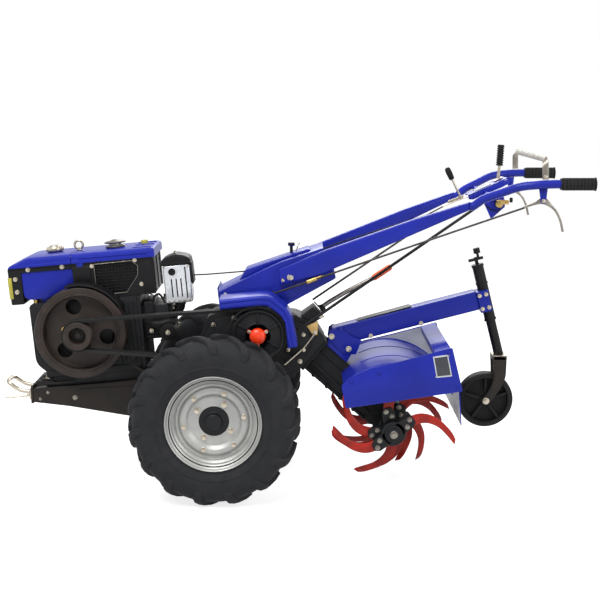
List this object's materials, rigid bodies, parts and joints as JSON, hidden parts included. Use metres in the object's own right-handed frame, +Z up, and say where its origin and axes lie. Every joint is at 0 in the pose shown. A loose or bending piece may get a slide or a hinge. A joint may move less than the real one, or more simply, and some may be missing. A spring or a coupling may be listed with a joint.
{
  "type": "walking tractor with rotary tiller",
  "caption": "Two-wheel walking tractor: front diesel engine, belt drive, gearbox, long handles, rear rotary tiller with hood and height-set tail wheel.",
  "frame": {"origin": "middle of the bounding box at ground level, where the tyres stand", "axes": "+Z up; +X rearwards, towards the handles, so the machine travels towards -X; -Y is its left side, with the flywheel"},
  "size_m": [2.2222, 0.905, 1.3137],
  "materials": {
    "blue_paint": "gloss",
    "black_paint": "satin",
    "frame_paint": "satin",
    "engine_casting": "satin black paint",
    "cast_iron_black": "satin black paint",
    "tyre_rubber": "matte",
    "rubber": "matte",
    "rim_silver": "satin",
    "muffler_silver": "satin",
    "zinc": "zinc plated",
    "tine_red": "gloss",
    "clutch_orange": "gloss paint",
    "black_plastic": "matte"
  },
  "bodies": {
    "machine": {"air_cleaner": "black_plastic", "belt_guard": "blue_paint", "clutch_lever": "black_plastic", "column_tube": "black_paint", "control_console": "black_paint", "crank_handle": "black_paint", "cylinder_head": "engine_casting", "drive_belt": "rubber", "engine_block": "engine_casting", "frame_front_plate": "frame_paint", "frame_rail_left": "frame_paint", "frame_rail_right": "frame_paint", "fuel_cap": "black_plastic", "fuel_tank": "blue_paint", "gear_lever": "zinc", "gearbox_case": "cast_iron_black", "grip_left": "rubber", "grip_right": "rubber", "handle_arm_left": "blue_paint", "handle_arm_right": "blue_paint", "handle_bail": "zinc", "handle_bracket": "blue_paint", "handle_cover": "blue_paint", "handle_tube_left": "blue_paint", "handle_tube_right": "blue_paint", "headlamp": "black_paint", "hood_strap": "blue_paint", "lifting_eye": "zinc", "muffler": "muffler_silver", "radiator": "black_paint", "radiator_cap": "black_plastic", "radiator_hood": "blue_paint", "rear_apron": "blue_paint", "shift_rod": "black_paint", "side_shield_left": "blue_paint", "side_shield_right": "blue_paint", "steering_lever_left": "zinc", "steering_lever_right": "zinc", "steering_rod_left": "zinc", "steering_rod_right": "zinc", "tail_beam": "blue_paint", "tank_cover": "blue_paint", "throttle_lever": "black_paint", "tiller_bracket": "black_paint", "tiller_case": "cast_iron_black", "tiller_hood": "blue_paint", "tow_loop": "zinc"},
    "wheel_left": {"tyre_left": "tyre_rubber", "rim_left": "rim_silver", "axle_hub_left": "cast_iron_black"},
    "wheel_right": {"tyre_right": "tyre_rubber", "rim_right": "rim_silver", "axle_hub_right": "cast_iron_black"},
    "flywheel_group": {"flywheel": "cast_iron_black"},
    "clutch_group": {"clutch_pulley": "clutch_orange"},
    "rotor": {"tine_rotor": "tine_red"},
    "tail_post_group": {"tail_post": "black_paint"},
    "tail_roller": {"tail_wheel": "tyre_rubber"}
  },
  "joints": [
    {"name": "wheel_left_spin", "type": "hinge", "parent": "machine", "child": "wheel_left", "pos_m": [-0.26488, -0.37, 0.32], "axis": [0, 1, 0], "continuous": true},
    {"name": "wheel_right_spin", "type": "hinge", "parent": "machine", "child": "wheel_right", "pos_m": [-0.26488, 0.37, 0.32], "axis": [0, 1, 0], "continuous": true},
    {"name": "flywheel_spin", "type": "hinge", "parent": "machine", "child": "flywheel_group", "pos_m": [-0.78088, -0.165, 0.612], "axis": [0, 1, 0], "continuous": true},
    {"name": "clutch_pulley_spin", "type": "hinge", "parent": "machine", "child": "clutch_group", "pos_m": [-0.10688, -0.24, 0.613], "axis": [0, 1, 0], "continuous": true},
    {"name": "tine_rotor_spin", "type": "hinge", "parent": "machine", "child": "rotor", "pos_m": [0.40612, 0, 0.232], "axis": [0, 1, 0], "continuous": true},
    {"name": "tail_wheel_height", "type": "slide", "parent": "machine", "child": "tail_post_group", "axis": [0.2504, 0, -0.9681], "range_m": [-0.04, 0.14]},
    {"name": "tail_wheel_spin", "type": "hinge", "parent": "tail_post_group", "child": "tail_roller", "pos_m": [0.78512, 0, 0.31], "axis": [0, 1, 0], "continuous": true}
  ],
  "couplings": [
    {"joint": "clutch_pulley_spin", "follows": "flywheel_spin", "ratio": 0.53}
  ]
}
